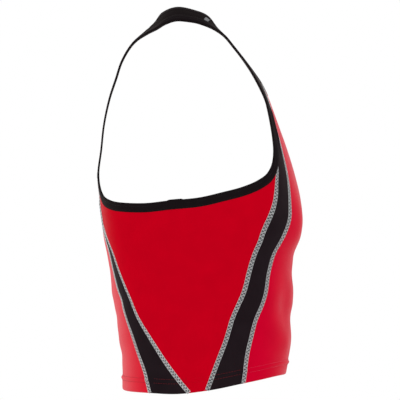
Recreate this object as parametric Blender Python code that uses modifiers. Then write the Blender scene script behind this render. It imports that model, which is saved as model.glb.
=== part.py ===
"""Sleeveless triathlon top, worn and hollow: thin knit panels, a racer back yoke and bound edges.

Metres, +Z up. The wearer faces -Y and the wearer's left is +X. The origin lies midway between
the shoulder straps, at the height where they rest on the shoulders.
Every sheet is an open surface laid on one form and thickened inwards.
"""
import math

import bpy
import numpy as np

MM = 0.001

# Driving sizes
CLOTH = 1.0 * MM            # wall of a knit panel
TAPE = 1.4 * MM             # wall of a folded binding
TAPE_WIDTH = 9.5 * MM       # width of a binding on the outside
TAPE_RISE = 0.2 * MM        # how far a binding stands out of the panels
ROLL = 1.2 * MM             # width of the rolled edge of a binding
GAP = 0.32 * MM             # space left between two sewn pieces
SHOULDER_AXIS = (-5.7 * MM, -95.0 * MM)     # depth and height of the line the straps turn about
STRAP_JOIN = 34.0           # turn about that line where front inset and yoke strap are joined
APEX_HEIGHT = -245.0 * MM   # top of the back inset
DROP_WIDTH = 100.0 * MM     # distance from the centre line where the shoulders' drop is given
FORM_BLEND = 20.0 * MM      # height over which the body's form passes into the shoulders'

# Number of spans across the pieces and along their edges; two pieces that meet share them
FRONT_HALF, INSET, BACK_INSET, BACK_HALF = 6, 3, 4, 5
UNDERARM, SCYE_FRONT, SCYE_BACK, SHOULDER = 16, 12, 22, 10
SIDE_LOW, SIDE_HIGH = 11, 3
NECK_STRAP, NECK_BACK = 4, 16
FRONT_SPANS = SIDE_LOW + SIDE_HIGH + SCYE_FRONT - NECK_STRAP
YOKE_CENTRE = SCYE_BACK + SHOULDER - NECK_BACK

# How finely curves are worked out before the spans are set along them
ARM_SAMPLES = 720           # around an armhole
NECK_SAMPLES = 1200         # around the neckline
LINE_SAMPLES = 200          # along any other line
BEND_WEIGHT = 28.0 * MM     # straight edge that gets as many spans as a bend of one radian
BEND_REACH = 9              # samples over which a bend is averaged
USUAL_RADIUS = 100.0 * MM   # distance of a seam from the body's middle, near enough
ROUNDS = 12                 # repeats that settle a point lying on two curves

# Level sections of the body below the shoulder line, in mm. The power rounds the section:
# 2 is an ellipse, and more is squarer.
BODY_COLUMNS = ("height", "half_width", "front", "back", "power")
BODY = (
    (-440, 122.0, -114.8, 66.0, 2.4),
    (-400, 121.5, -121.7, 66.5, 2.4),
    (-370, 122.0, -126.4, 70.0, 2.45),
    (-346, 122.9, -125.3, 73.4, 2.5),
    (-317, 125.1, -128.8, 77.6, 2.5),
    (-293, 127.5, -127.1, 80.9, 2.5),
    (-275, 130.3, -128.9, 83.5, 2.5),
    (-256, 135.0, -136.6, 87.4, 2.5),
    (-237, 138.5, -139.3, 89.8, 2.5),
    (-212, 140.0, -137.2, 92.5, 2.5),
    (-183, 140.0, -130.5, 94.7, 2.65),
    (-155, 140.0, -122.0, 91.2, 2.8),
    (-126, 139.5, -111.7, 88.0, 2.9),
    (-95, 138.0, -100.3, 81.5, 3.0),
    (-70, 136.0, -90.0, 74.0, 3.0),
)

# Sections turned about the shoulder line: 0 degrees is the chest, 90 the top, 180 the back.
# The radius falls away to the side as the cube of the distance from the centre line.
SHOULDER_COLUMNS = ("turn", "radius", "drop")
SHOULDERS = (
    (-14, 107.6, 11.7),
    (0, 94.6, 12.1),
    (12, 87.8, 11.0),
    (22, 83.0, 8.0),
    (34, 80.0, 4.0),
    (46, 80.3, 1.5),
    (58, 83.6, 0.0),
    (65.5, 88.0, 3.8),
    (74.6, 100.0, 16.3),
    (84.6, 104.6, 19.2),
    (96.6, 108.2, 22.2),
    (105.2, 102.2, 19.0),
    (111.4, 93.5, 11.5),
    (121, 89.0, 6.8),
    (132, 87.4, 3.0),
    (150, 84.5, 4.6),
    (166, 83.3, 10.0),
    (180, 87.2, 11.7),
    (194, 94.8, 11.7),
)

# Edge of the armhole, from the top of the shoulder down the front, under the arm and up the back
ARMHOLE_COLUMNS = ("half_width", "depth", "height")
ARMHOLE = (
    (96.8, -4.6, -6.6),
    (96, -21, -9.5),
    (94.4, -36, -16),
    (91, -50, -25.5),
    (82, -71, -50),
    (72.5, -89, -76),
    (71, -97, -97),
    (80, -102, -119),
    (91.5, -106.5, -142),
    (98.5, -107.2, -158),
    (106.5, -104.2, -173),
    (113, -99, -181.2),
    (123, -89, -188.9),
    (133, -71, -196.6),
    (139, -47, -203),
    (140, -24, -208.4),
    (137, 13, -212.3),
    (128, 36.5, -215.1),
    (110, 60, -215.2),
    (77, 81, -211.8),
    (54, 88.6, -206),
    (38, 92.5, -195.5),
    (30, 93.5, -182),
    (28, 91, -155),
    (30, 87, -126),
    (38, 80, -98),
    (47, 71, -75),
    (57, 64, -54),
    (69, 54, -36),
    (79, 40, -24),
    (87.8, 26, -15.5),
    (93.7, 10, -9),
)

# Edge of the neckline, turned about the shoulder line from centre front to centre back
NECK_COLUMNS = ("turn", "half_width")
NECK = (
    (7.2, 0),
    (8.6, 17),
    (13.5, 30),
    (22, 40),
    (36, 49),
    (52, 56),
    (68.4, 60.5),
    (84.6, 62),
    (95.6, 61),
    (102.1, 54),
    (106.6, 40),
    (110.1, 21),
    (111.4, 0),
)

# Seams: degrees around the body from centre front, at each height in mm
SEAM_COLUMNS = ("height", "turn")
FRONT_SEAM = (
    (-440, 68.4),
    (-410, 67.7),
    (-380, 65.9),
    (-352, 61.7),
    (-335, 58.2),
    (-312, 54.3),
    (-285, 50.4),
    (-265, 47.5),
    (-232, 40.1),
    (-215, 38.2),
    (-185, 35.1),
    (-150, 35.2),
    (-120, 31.5),
    (-95, 26.0),
    (-70, 18.0),
)
FRONT_SIDE_SEAM = (
    (-440, 89.6),
    (-400, 84.4),
    (-353, 76.0),
    (-301, 65.9),
    (-275, 62.4),
    (-262, 61.1),
    (-250, 60.0),
    (-211, 51.2),
    (-190, 47.8),
    (-176, 45.5),
    (-160, 45.5),
)
BACK_SIDE_SEAM = (
    (-440, 94.0),
    (-406, 107.8),
    (-377, 117.8),
    (-350, 126.3),
    (-321, 134.6),
    (-292, 142.2),
    (-264, 150.8),
    (-252, 156.2),
    (-241, 160.6),
    (-221, 164.0),
    (-190, 167.0),
)
REAR_SEAM = (
    (-440, 119.8),
    (-403, 127.0),
    (-385, 131.3),
    (-362, 136.2),
    (-336, 142.5),
    (-307, 149.5),
    (-275, 155.7),
    (-256, 158.9),
    (-241, 161.2),
    (-221, 164.4),
    (-190, 167.4),
)

# Lower edge, by degrees around the body
HEM_COLUMNS = ("turn", "height")
HEM = (
    (0, -410.0),
    (48, -414.0),
    (67, -419.8),
    (86, -427.6),
    (103, -431.9),
    (122, -430.9),
    (180, -427.5),
)


def named(columns, rows, in_mm):
    """The table as arrays by column name, with the lengths among them in metres"""
    values = dict(zip(columns, np.array(rows, float).T))
    for name in in_mm:
        values[name] = values[name] * MM
    return values


def smooth(at, knots, values):
    """Cubic curve through the values, leaving each knot at the weighted slope of its two spans"""
    span = np.diff(knots)
    rise = np.diff(values) / span
    slope = np.concatenate((rise[:1], rise[:1], rise[1:]))
    slope[1:-1] = (span[:-1] * rise[1:] + span[1:] * rise[:-1]) / (span[:-1] + span[1:])
    low = np.clip(np.searchsorted(knots, at, side="right") - 1, 0, len(span) - 1)
    t = (at - knots[low]) / span[low]
    return ((1 + 2 * t) * (1 - t) ** 2 * values[low]
            + t * (1 - t) ** 2 * span[low] * slope[low]
            + t * t * (3 - 2 * t) * values[low + 1]
            + t * t * (t - 1) * span[low] * slope[low + 1])


def smooth_line(points, count, closed=False):
    """Smooth line through the points, as many samples as asked for"""
    if closed:
        points = np.concatenate((points[-2:], points, points[:3]))
    steps = np.linalg.norm(np.diff(points, axis=0), axis=1)
    knots = np.concatenate(((0.0,), np.cumsum(steps)))
    ends = (knots[2], knots[-3]) if closed else (knots[0], knots[-1])
    at = np.linspace(ends[0], ends[1], count, endpoint=not closed)
    return np.stack([smooth(at, knots, column) for column in points.T], axis=1)


def body_section(height):
    half_width, front, back, power = (
        smooth(height, body["height"], body[name]) for name in BODY_COLUMNS[1:])
    return half_width, (front + back) / 2, (back - front) / 2, power


def shoulder_radius(turn, across):
    radius = smooth(turn, shoulders["turn"], shoulders["radius"])
    drop = smooth(turn, shoulders["turn"], shoulders["drop"])
    return radius - drop * (np.abs(across) / DROP_WIDTH) ** 3


def shoulder_turn(points):
    """Degrees about the shoulder line, from -90 under it, through the chest, over to the back"""
    rise, reach = points[:, 2] - SHOULDER_AXIS[1], SHOULDER_AXIS[0] - points[:, 1]
    return (np.degrees(np.arctan2(rise, reach)) + 90) % 360 - 90


def about_shoulder(turn, across):
    """Points on the shoulders' form at these degrees about the shoulder line"""
    radius = shoulder_radius(turn, across)
    depth = SHOULDER_AXIS[0] - radius * np.cos(np.radians(turn))
    height = SHOULDER_AXIS[1] + radius * np.sin(np.radians(turn))
    return np.stack((across + 0 * depth, depth, height), axis=1)


def shoulder_share(height):
    """How much the shoulders' form counts at a height, against the body's"""
    return np.clip((height - SHOULDER_AXIS[1]) / FORM_BLEND + 0.5, 0, 1)


def body_stretch(points):
    """How far points lie from the body's middle, as a share of the way to its section"""
    half_width, middle, reach, power = body_section(points[:, 2])
    return ((np.abs(points[:, 0]) / half_width) ** power
            + (np.abs(points[:, 1] - middle) / reach) ** power) ** (1 / power)


def on_form(points):
    """Moves points onto the form: level with the body's middle below the shoulder line, and
    straight out from that line above it"""
    across, depth, height = points.T
    middle = body_section(height)[1]
    stretch = body_stretch(points)
    low = np.stack((across / stretch, middle + (depth - middle) / stretch, height), axis=1)
    high = about_shoulder(shoulder_turn(points), across)
    share = shoulder_share(height)[:, None]
    return low * (1 - share) + high * share


def outside(points):
    """How far points stand out of the form, roughly"""
    across, depth, height = points.T
    low = (body_stretch(points) - 1) * body_section(height)[2]
    radius = np.hypot(height - SHOULDER_AXIS[1], depth - SHOULDER_AXIS[0])
    high = radius - shoulder_radius(shoulder_turn(points), across)
    share = shoulder_share(height)
    return low * (1 - share) + high * share


def outward(points):
    """Unit normals of the form at points on it"""
    step = 0.5 * MM
    slopes = [outside(points + step * axis) - outside(points - step * axis) for axis in np.eye(3)]
    normals = np.stack(slopes, axis=1)
    return normals / np.linalg.norm(normals, axis=1, keepdims=True)


def beside(line, distance):
    """The closed line on the form that runs a distance to the cloth's side of a closed edge"""
    along = np.roll(line, -1, axis=0) - np.roll(line, 1, axis=0)
    away = np.cross(along, outward(line))
    away /= np.linalg.norm(away, axis=1, keepdims=True)
    return on_form(line + away * distance)


def turn_of(points):
    """Degrees around the body from centre front"""
    middle = body_section(points[:, 2])[1]
    return np.degrees(np.arctan2(points[:, 0], middle - points[:, 1]))


def around(turn, height):
    """Points on the form at these degrees around the body and these heights"""
    turn, height = np.broadcast_arrays(np.radians(turn), height)
    middle = body_section(height)[1]
    arm = USUAL_RADIUS
    for _ in range(ROUNDS):
        start = (arm * np.sin(turn), middle - arm * np.cos(turn), height)
        points = on_form(np.stack(start, axis=1))
        arm = np.hypot(points[:, 0], points[:, 1] - middle)
    return points


def hem_height(turn):
    return smooth(turn, hem["turn"], hem["height"])


def seam_turn(seam, height, side=0):
    """Degrees of a seam at a height, drawn half the gap to one side"""
    shift = math.degrees(GAP / 2 / USUAL_RADIUS)
    return smooth(height, seam["height"], seam["turn"]) + side * shift


def seam_line(seam, heights, side):
    return around(seam_turn(seam, heights, side), heights)


def seam_foot(seam):
    """Height where a seam meets the hem"""
    height = hem["height"][0]
    for _ in range(ROUNDS):
        height = float(hem_height(seam_turn(seam, height)))
    return height


def crossing(line, seam, start, stop):
    """Where a line along an edge crosses a seam, as a position between its samples"""
    heights = np.clip(line[:, 2], seam["height"][0], seam["height"][-1])
    ahead = turn_of(line) - seam_turn(seam, heights)
    inside = heights == line[:, 2]
    crosses = inside[:-1] & inside[1:] & (ahead[:-1] * ahead[1:] <= 0)
    first = start + int(np.flatnonzero(crosses[start:stop])[0])
    return first + ahead[first] / (ahead[first] - ahead[first + 1])


def read(line, at):
    """Points of a sampled line at fractional positions"""
    return np.stack([np.interp(at, np.arange(len(line)), column) for column in line.T], axis=1)


def spread(line, start, stop, spans):
    """Positions along a line, closer together where it bends"""
    positions = np.linspace(start, stop, LINE_SAMPLES)
    points = read(line, positions)
    steps = np.linalg.norm(np.diff(points, axis=0), axis=1)
    ways = np.diff(points, axis=0) / steps[:, None]
    bends = np.linalg.norm(np.diff(ways, axis=0), axis=1)
    average = np.ones(BEND_REACH) / BEND_REACH
    bend = np.convolve(np.concatenate((bends[:1], bends)), average, "same")
    weight = steps + BEND_WEIGHT * bend
    total = np.concatenate(((0.0,), np.cumsum(weight)))
    return np.interp(np.linspace(0, total[-1], spans + 1), total, positions)


def patch(bottom, top, left, right):
    """Grid of points between four edges that share their corners, laid on the form"""
    u = np.linspace(0, 1, len(bottom))[None, :, None]
    v = np.linspace(0, 1, len(left))[:, None, None]
    grid = ((1 - v) * bottom[None] + v * top[None] + (1 - u) * left[:, None] + u * right[:, None]
            - (1 - u) * (1 - v) * bottom[0] - u * (1 - v) * bottom[-1]
            - (1 - u) * v * top[0] - u * v * top[-1])
    return on_form(grid.reshape(-1, 3)).reshape(grid.shape)


def between(start, stop, spans):
    """Straight run of points from one to the other, laid on the form"""
    share = np.linspace(0, 1, spans + 1)[:, None]
    return on_form(start * (1 - share) + stop * share)


def hem_line(start, stop, spans):
    turns = np.linspace(turn_of(start[None])[0], turn_of(stop[None])[0], spans + 1)
    line = around(turns, hem_height(turns))
    line[0], line[-1] = start, stop
    return line


def cloth_material(name, colour, roughness):
    material = bpy.data.materials.new(name)
    material.use_nodes = True
    shader = material.node_tree.nodes["Principled BSDF"]
    shader.inputs["Base Color"].default_value = (*colour, 1.0)
    shader.inputs["Roughness"].default_value = roughness
    shader.inputs["Metallic"].default_value = 0.0
    return material


def add_sheet(name, grid, wall, material, flip=False, mirror=False, closed=False):
    """One object from a grid of points on the outer face, columns running front to back and rows
    upwards, thickened inwards. A flipped sheet is the same piece on the other side of the body."""
    rows, columns = grid.shape[:2]
    points = grid.reshape(-1, 3) * ((-1, 1, 1) if flip else (1, 1, 1))
    last = rows if closed else rows - 1
    row, column = np.meshgrid(np.arange(last), np.arange(columns - 1), indexing="ij")
    here = row * columns + column
    above = (row + 1) % rows * columns + column
    faces = np.stack((here, here + 1, above + 1, above), axis=-1).reshape(-1, 4)
    if flip:
        faces = faces[:, ::-1]
    mesh = bpy.data.meshes.new(name)
    mesh.from_pydata(points.tolist(), [], faces.tolist())
    mesh.shade_smooth()
    mesh.materials.append(material)
    sheet = bpy.data.objects.new(name, mesh)
    collection.objects.link(sheet)
    if mirror:
        half = sheet.modifiers.new("Other half", "MIRROR")
        half.merge_threshold = 0.05 * MM
    shell = sheet.modifiers.new("Cloth", "SOLIDIFY")
    shell.thickness = wall
    shell.offset = -1
    return sheet


def add_pair(name, grid, wall, material, closed=False):
    add_sheet(name + "_left", grid, wall, material, closed=closed)
    add_sheet(name + "_right", grid, wall, material, flip=True, closed=closed)


def tape_lines(edge):
    """A binding's rolled edge, its crown and its inner border, just proud of the panels"""
    lines = [edge - outward(edge) * TAPE_RISE]
    for distance in (ROLL, TAPE_WIDTH):
        line = beside(edge, distance)
        lines.append(line + outward(line) * TAPE_RISE)
    return lines


def shut(line):
    """A closed line with its first point again at the end"""
    return np.concatenate((line, line[:1]))


def drawn_back(line, end, distance):
    """The line with one end pulled back along itself"""
    line = line.copy()
    way = line[end + 1 if end == 0 else end - 1] - line[end]
    line[end] += way / np.linalg.norm(way) * distance
    return line


def stations(parts, last):
    """All the stations along an edge, each once, with or without the last"""
    inner = [part[:-1] for part in parts.values()]
    return np.concatenate(inner + [list(parts.values())[-1][-1:]] * last)


def add_bindings():
    at = stations(arm_parts, last=False)
    grid = np.stack([read(line, at) for line in arm_tape], axis=1)
    add_pair("armhole_binding", grid, TAPE, tape_black, closed=True)
    at = stations(neck_parts, last=True)
    grid = np.stack([read(line, at) for line in neck_tape], axis=1)
    grid[0, :, 0] = 0.0
    grid[-1, :, 0] = 0.0
    add_sheet("neck_binding", grid, TAPE, tape_black, mirror=True)


def add_front_centre():
    top = read(neck_border, neck_parts["front"])
    top[0, 0] = 0.0
    heights = np.linspace(seam_foot(front_seam), top[-1, 2], FRONT_SPANS + 1)
    right = seam_line(front_seam, heights, -1)
    top[-1] = right[-1]
    left = around(0.0, np.linspace(hem["height"][0], top[0, 2], FRONT_SPANS + 1))
    left[-1] = top[0]
    bottom = hem_line(left[0], right[0], FRONT_HALF)
    add_sheet("front_centre", patch(bottom, top, left, right), CLOTH, red, mirror=True)


def add_front_insets():
    neck_part = read(neck_border, neck_parts["strap"])
    heights = np.linspace(seam_foot(front_seam), neck_part[0, 2], FRONT_SPANS + 1)
    left = np.concatenate((seam_line(front_seam, heights, 1), neck_part[1:]))
    left = drawn_back(left, -1, GAP / 2)
    arm_part = read(arm_border, arm_parts["front"])[::-1]
    heights = side_heights(front_side_seam, arm_part[0, 2])
    right = np.concatenate((seam_line(front_side_seam, heights, -1), arm_part[1:]))
    right = drawn_back(right, -1, GAP / 2)
    top = between(left[-1], right[-1], INSET)
    bottom = hem_line(left[0], right[0], INSET)
    add_pair("front_inset", patch(bottom, top, left, right), CLOTH, black)


def side_heights(seam, top):
    return np.linspace(seam_foot(seam), top, SIDE_LOW + SIDE_HIGH + 1)


def back_heights(seam, top):
    """Heights of the stations on a back seam, one of them at the back inset's apex"""
    low = np.linspace(seam_foot(seam), APEX_HEIGHT, SIDE_LOW + 1)
    return np.concatenate((low[:-1], np.linspace(APEX_HEIGHT, top, SIDE_HIGH + 1)))


def add_sides():
    top = read(arm_border, arm_parts["under"])
    left = seam_line(front_side_seam, side_heights(front_side_seam, top[0, 2]), 1)
    heights = back_heights(back_side_seam, top[-1, 2])
    right = np.concatenate((seam_line(back_side_seam, heights[:SIDE_LOW + 1], -1),
                            seam_line(rear_seam, heights[SIDE_LOW + 1:], -1)))
    top[0], top[-1] = left[-1], right[-1]
    bottom = hem_line(left[0], right[0], UNDERARM)
    add_pair("side", patch(bottom, top, left, right), CLOTH, red)


def add_back_insets():
    foot_to_apex = slice(0, SIDE_LOW + 1)
    left = seam_line(back_side_seam, back_heights(back_side_seam, 0)[foot_to_apex], 1)
    right = seam_line(rear_seam, back_heights(rear_seam, 0)[foot_to_apex], -1)
    top = between(left[-1], right[-1], BACK_INSET)
    bottom = hem_line(left[0], right[0], BACK_INSET)
    add_pair("back_inset", patch(bottom, top, left, right), CLOTH, black)


def add_back_centre():
    seam_height = read(arm_border, np.array((arm_back,)))[0, 2] - GAP / 2
    left = seam_line(rear_seam, back_heights(rear_seam, seam_height), 1)
    right = around(180.0, np.linspace(hem["height"][-1], seam_height, SIDE_LOW + SIDE_HIGH + 1))
    right[:, 0] = 0.0
    top = between(left[-1], right[-1], BACK_HALF)
    bottom = hem_line(left[0], right[0], BACK_HALF)
    add_sheet("back_centre", patch(bottom, top, left, right), CLOTH, red, mirror=True)


def add_back_yoke():
    left = read(arm_border, np.concatenate((arm_parts["back"][:-1], arm_parts["shoulder"])))
    left = drawn_back(drawn_back(left, 0, GAP), -1, GAP / 2)
    neck_part = read(neck_border, neck_parts["back"])[::-1]
    neck_part[0, 0] = 0.0
    low = around(180.0, np.linspace(left[0, 2], SHOULDER_AXIS[1] - MM, LINE_SAMPLES))
    turns = np.linspace(180.0, shoulder_turn(neck_part[:1])[0], LINE_SAMPLES)
    centre = smooth_line(np.concatenate((low, about_shoulder(turns, 0.0))), YOKE_CENTRE + 1)
    centre[:, 0] = 0.0
    right = drawn_back(np.concatenate((centre[:-1], neck_part)), -1, GAP / 2)
    top = between(left[-1], right[-1], BACK_HALF)
    bottom = between(left[0], right[0], BACK_HALF)
    grid = patch(bottom, top, left, right)
    add_sheet("back_yoke", grid, CLOTH, black, mirror=True)


body = named(BODY_COLUMNS, BODY, ("height", "half_width", "front", "back"))
shoulders = named(SHOULDER_COLUMNS, SHOULDERS, ("radius", "drop"))
armhole = named(ARMHOLE_COLUMNS, ARMHOLE, ARMHOLE_COLUMNS)
neck = named(NECK_COLUMNS, NECK, ("half_width",))
hem = named(HEM_COLUMNS, HEM, ("height",))
front_seam = named(SEAM_COLUMNS, FRONT_SEAM, ("height",))
front_side_seam = named(SEAM_COLUMNS, FRONT_SIDE_SEAM, ("height",))
back_side_seam = named(SEAM_COLUMNS, BACK_SIDE_SEAM, ("height",))
rear_seam = named(SEAM_COLUMNS, REAR_SEAM, ("height",))

for old in list(bpy.data.objects):
    bpy.data.objects.remove(old)
collection = bpy.data.collections.new("sleeveless_triathlon_top")
bpy.context.scene.collection.children.link(collection)

red = cloth_material("red_knit", (0.50, 0.004, 0.018), 0.62)
black = cloth_material("black_knit", (0.013, 0.012, 0.013), 0.60)
tape_black = cloth_material("black_binding", (0.009, 0.008, 0.009), 0.55)

# The two bound edges as fine closed lines, and the lines where the panels stop short of them
arm_points = np.stack([armhole[name] for name in ARMHOLE_COLUMNS], axis=1)
arm_edge = on_form(smooth_line(arm_points, ARM_SAMPLES, closed=True))
arm_tape = [shut(line) for line in tape_lines(arm_edge)]
arm_border = shut(beside(arm_edge, TAPE_WIDTH + GAP))

neck_points = about_shoulder(neck["turn"], neck["half_width"])
neck_other = neck_points[1:-1][::-1] * (-1, 1, 1)
neck_edge = on_form(smooth_line(
    np.concatenate((neck_points, neck_other)), NECK_SAMPLES, closed=True))
neck_tape = tape_lines(neck_edge)
neck_border = beside(neck_edge, TAPE_WIDTH + GAP)

# Where the seams and the strap join meet the bound edges, as positions along them
arm_low = ARM_SAMPLES // 2
neck_back = NECK_SAMPLES // 2
arm_front = crossing(arm_border, front_side_seam, ARM_SAMPLES // 8, arm_low)
arm_back = crossing(arm_border, rear_seam, arm_low, ARM_SAMPLES)
neck_seam = crossing(neck_border, front_seam, 1, neck_back)

arm_turns = shoulder_turn(arm_border[:ARM_SAMPLES // 3])
arm_join = float(np.interp(-STRAP_JOIN, -arm_turns, np.arange(len(arm_turns))))
neck_turns = shoulder_turn(neck_border[:neck_back])
neck_join = float(np.interp(STRAP_JOIN, neck_turns, np.arange(len(neck_turns))))

# Stations that each binding shares with the panels along it
arm_parts = {
    "shoulder": spread(arm_border, 0, arm_join, SHOULDER),
    "front": spread(arm_border, arm_join, arm_front, SCYE_FRONT),
    "under": spread(arm_border, arm_front, arm_back, UNDERARM),
    "back": spread(arm_border, arm_back, len(arm_border) - 1, SCYE_BACK),
}
neck_parts = {
    "front": spread(neck_border, 0, neck_seam, FRONT_HALF),
    "strap": spread(neck_border, neck_seam, neck_join, NECK_STRAP),
    "back": spread(neck_border, neck_join, neck_back, NECK_BACK),
}

add_bindings()
add_front_centre()
add_front_insets()
add_sides()
add_back_insets()
add_back_centre()
add_back_yoke()
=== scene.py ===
import math

import bpy
import numpy as np
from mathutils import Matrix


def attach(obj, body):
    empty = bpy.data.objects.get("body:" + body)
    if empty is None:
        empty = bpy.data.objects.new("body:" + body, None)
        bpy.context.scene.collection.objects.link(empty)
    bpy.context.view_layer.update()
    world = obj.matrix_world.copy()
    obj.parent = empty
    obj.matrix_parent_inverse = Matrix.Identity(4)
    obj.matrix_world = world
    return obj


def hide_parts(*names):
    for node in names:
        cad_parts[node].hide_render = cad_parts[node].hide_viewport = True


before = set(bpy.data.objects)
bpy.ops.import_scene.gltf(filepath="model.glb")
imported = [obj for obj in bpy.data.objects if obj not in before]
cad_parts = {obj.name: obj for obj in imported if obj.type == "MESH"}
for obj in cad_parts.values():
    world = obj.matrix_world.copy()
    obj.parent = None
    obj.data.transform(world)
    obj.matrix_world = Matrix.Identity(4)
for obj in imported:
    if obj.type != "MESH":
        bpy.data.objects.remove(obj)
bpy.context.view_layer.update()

mm = 0.001
scene = bpy.context.scene


def inMetres(table):
    # a table's columns as arrays, in metres where they are lengths in mm and as they are elsewhere
    plain = ("turn", "power", "span", "lean", "past", "spread")
    return {name: np.array(column, float) * (1 if name in plain else mm) for name, column in table.items()}


# The form that the cloth lies on. Its tables give lengths in mm and turns in degrees.

shoulderDepth, shoulderHeight = -5.7 * mm, -95 * mm  # the line that the straps turn about
dropReach = 100 * mm  # how far out from the centre line the shoulders' drop is measured
formBlend = 20 * mm  # height over which the torso passes into the shoulders
seamRadius = 100 * mm  # a seam's usual distance from the body's middle
aroundRounds, footRounds = 10, 12  # tries until a point at a turn, or a seam's foot, holds still

torso = inMetres({  # level sections; a power of 2 is an ellipse and more is squarer
    "height": (-440, -400, -370, -346, -317, -293, -275, -256, -237, -212, -183, -155, -126, -95, -70),
    "halfWidth": (122, 121.5, 122, 122.9, 125.1, 127.5, 130.3, 135, 138.5, 140, 140, 140, 139.5, 138, 136),
    "front": (-114.8, -121.7, -126.4, -125.3, -128.8, -127.1, -128.9, -136.6, -139.3, -137.2, -130.5, -122,
              -111.7, -100.3, -90),
    "back": (66, 66.5, 70, 73.4, 77.6, 80.9, 83.5, 87.4, 89.8, 92.5, 94.7, 91.2, 88, 81.5, 74),
    "power": (2.4, 2.4, 2.45, 2.5, 2.5, 2.5, 2.5, 2.5, 2.5, 2.5, 2.65, 2.8, 2.9, 3, 3),
})
shoulders = inMetres({  # sections turned about the shoulder line: 0 is the chest, 90 the top, 180 the back
    "turn": (-14, 0, 12, 22, 34, 46, 58, 65.5, 74.6, 84.6, 96.6, 105.2, 111.4, 121, 132, 150, 166, 180,
             194),
    "radius": (107.6, 94.6, 87.8, 83, 80, 80.3, 83.6, 88, 100, 104.6, 108.2, 102.2, 93.5, 89, 87.4, 84.5,
               83.3, 87.2, 94.8),
    "drop": (11.7, 12.1, 10.4, 5, 1.5, 0.5, 0, 3.8, 16.3, 19.2, 22.2, 19, 11.5, 6.8, 3, 4.6, 10, 11.7,
             11.7),  # how much less the radius is out at the reach above
})
armEdge = inMetres({  # the armhole, from the top of the shoulder down the front and up the back
    "halfWidth": (96.8, 96, 94.4, 91, 82, 72.5, 71, 80, 91.5, 98.5, 106.5, 113, 123, 133, 139, 140, 137,
                  128, 110, 77, 54, 38, 30, 28, 30, 38, 47, 57, 69, 79, 87.8, 93.7),
    "depth": (-4.6, -21, -36, -50, -71, -89, -97, -102, -106.5, -107.2, -104.2, -99, -89, -71, -47, -24, 13,
              36.5, 60, 81, 88.6, 92.5, 93.5, 91, 87, 80, 71, 64, 54, 40, 26, 10),
    "height": (-6.6, -9.5, -16, -25.5, -50, -76, -97, -119, -142, -158, -173, -181.2, -188.9, -196.6, -203,
               -208.4, -212.3, -215.1, -215.2, -211.8, -206, -195.5, -182, -155, -126, -98, -75, -54, -36,
               -24, -15.5, -9),
})
neckEdge = inMetres({  # the neckline about the shoulder line, from centre front to centre back
    "turn": (7.2, 8.6, 13.5, 22, 36, 52, 68.4, 84.6, 95.6, 102.1, 106.6, 110.1, 111.4),
    "halfWidth": (0, 17, 30, 40, 49, 56, 60.5, 62, 61, 54, 40, 21, 0),
})
frontSeam = inMetres({  # seams by turn around the body from centre front
    "height": (-440, -410, -380, -352, -335, -312, -285, -265, -232, -215, -185, -150, -120, -95, -70),
    "turn": (68.4, 67.7, 66.3, 62.1, 58.7, 55, 50.6, 47.7, 41.1, 39.4, 36.6, 36.3, 34, 29, 21.5),
})
frontSideSeam = inMetres({
    "height": (-440, -400, -353, -301, -275, -262, -250, -211, -190, -176, -160),
    "turn": (89.4, 83.9, 75.8, 66, 62.4, 61.1, 60, 51.6, 48.6, 46.6, 46.6),
})
backSideSeam = inMetres({
    "height": (-440, -406, -377, -350, -321, -292, -264, -252, -241, -221, -190),
    "turn": (93, 107.8, 118.4, 126.8, 134.6, 142.2, 150.8, 156.2, 160.6, 164, 167),
})
rearSeam = inMetres({
    "height": (-440, -403, -385, -362, -336, -307, -275, -256, -241, -221, -190, -176),
    "turn": (118.6, 127, 132, 136.9, 142.7, 149.5, 155.7, 158.9, 161.2, 164.4, 167.4, 168.8),
})
hemEdge = inMetres({
    "turn": (0, 48, 67, 86, 103, 122, 180),
    "height": (-410, -414, -419.8, -427.6, -431.9, -430.9, -427.5),
})


def smooth(at, knots, values):
    # cubic through the values, leaving each knot at the weighted slope of its two spans
    span = np.diff(knots)
    rise = np.diff(values) / span
    slope = np.concatenate((rise[:1], rise[:1], rise[1:]))
    slope[1:-1] = (span[:-1] * rise[1:] + span[1:] * rise[:-1]) / (span[:-1] + span[1:])
    low = np.clip(np.searchsorted(knots, at, side="right") - 1, 0, len(span) - 1)
    t = (at - knots[low]) / span[low]
    return ((1 + 2 * t) * (1 - t) ** 2 * values[low] + t * (1 - t) ** 2 * span[low] * slope[low]
            + t * t * (3 - 2 * t) * values[low + 1] + t * t * (t - 1) * span[low] * slope[low + 1])


def distances(line):
    # how far along a line each of its points is: the running sum of its steps
    return np.concatenate(((0.0,), np.cumsum(np.linalg.norm(np.diff(line, axis=0), axis=1))))


def pointsAt(line, measure, at):
    # points of a line where a measure along it has these values, straight between its own points
    return np.stack([np.interp(at, measure, column) for column in line.T], axis=-1)


def ringThrough(points, count):
    # a closed smooth line through the points, spaced by their straight distances, on the form
    points = np.concatenate((points[-2:], points, points[:3]))
    knots = distances(points)
    at = np.linspace(knots[2], knots[-3], count, endpoint=False)
    return onForm(np.stack([smooth(at, knots, column) for column in points.T], axis=1))


def torsoSection(height):
    # half width, middle, half depth and power of the level section at a height
    halfWidth, front, back, power = (
        smooth(height, torso["height"], torso[name]) for name in ("halfWidth", "front", "back", "power"))
    return halfWidth, (front + back) / 2, (back - front) / 2, power


def torsoStretch(points):
    # how far points lie from the body's middle, as a share of the way to its section:
    # the power mean of the two distances over the half sizes
    halfWidth, middle, halfDepth, power = torsoSection(points[:, 2])
    return ((np.abs(points[:, 0]) / halfWidth) ** power
            + (np.abs(points[:, 1] - middle) / halfDepth) ** power) ** (1 / power)


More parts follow.
